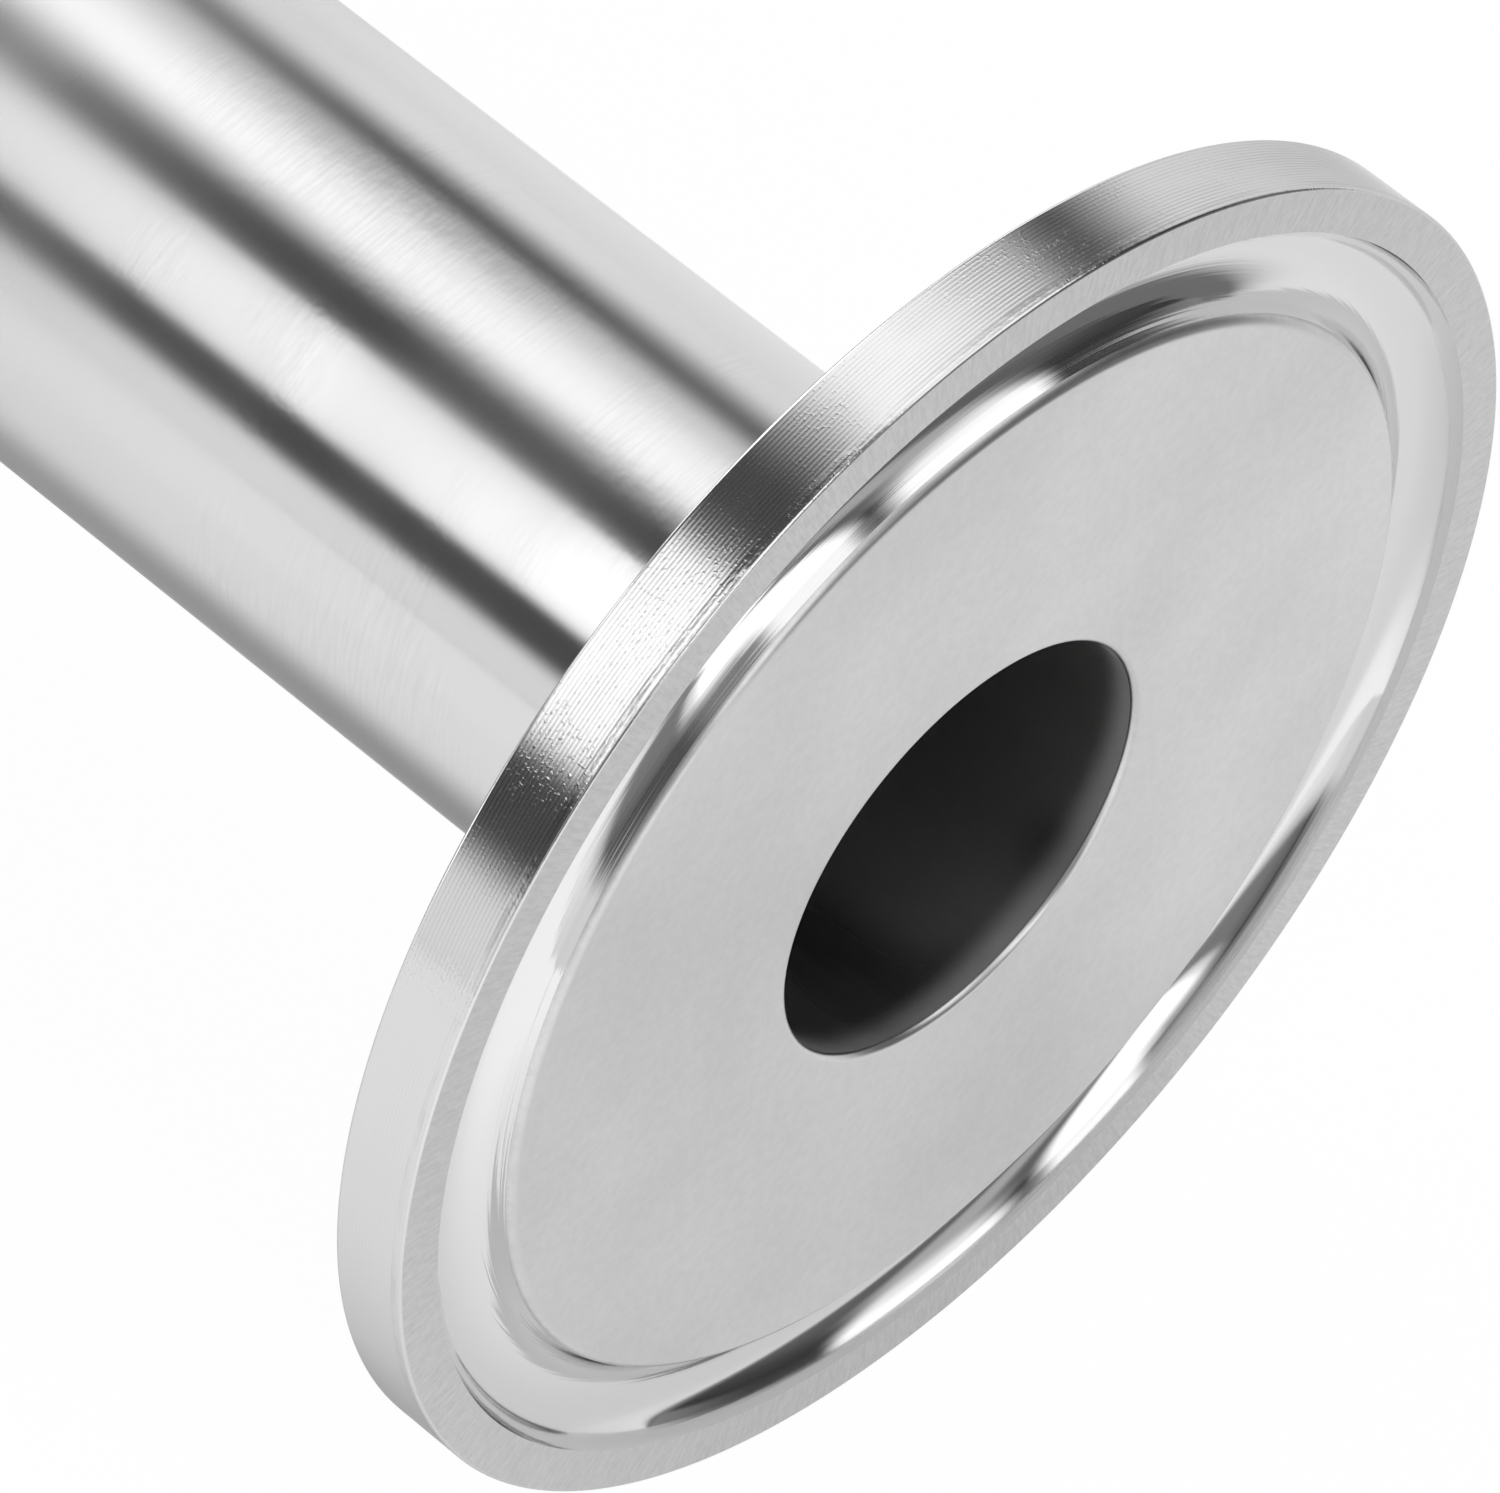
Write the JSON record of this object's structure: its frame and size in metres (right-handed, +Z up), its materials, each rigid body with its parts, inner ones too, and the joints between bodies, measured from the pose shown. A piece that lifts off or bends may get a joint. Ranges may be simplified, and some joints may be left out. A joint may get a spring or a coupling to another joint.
{
  "type": "sanitary clamp wye fitting",
  "caption": "Polished stainless steel true-Y tube fitting with a grooved clamp ferrule on the end of each leg, joining equal sanitary lines in one plane.",
  "frame": {"origin": "centre of the stem's sealing face, on the bore's axis", "axes": "+Y into the stem, towards the junction and the two arms; +Z up, normal to the plane of the legs; +X towards the right arm; lying flat, the rims touch the ground at z = -25.25 mm"},
  "size_m": [0.1204, 0.1202, 0.0504],
  "materials": {
    "turned_steel": "turned and polished stainless steel with a satin sealing face",
    "tube_steel": "bright polished stainless steel tube with fine polishing marks round it",
    "weld_steel": "weld ground to a hollow blend and polished flush with the tubes"
  },
  "bodies": {
    "root": {"junction_weld": "weld_steel", "stem_ferrule": "turned_steel", "right_arm_ferrule": "turned_steel", "left_arm_ferrule": "turned_steel", "stem_tube": "tube_steel", "right_arm_tube": "tube_steel", "left_arm_tube": "tube_steel"}
  },
  "joints": []
}
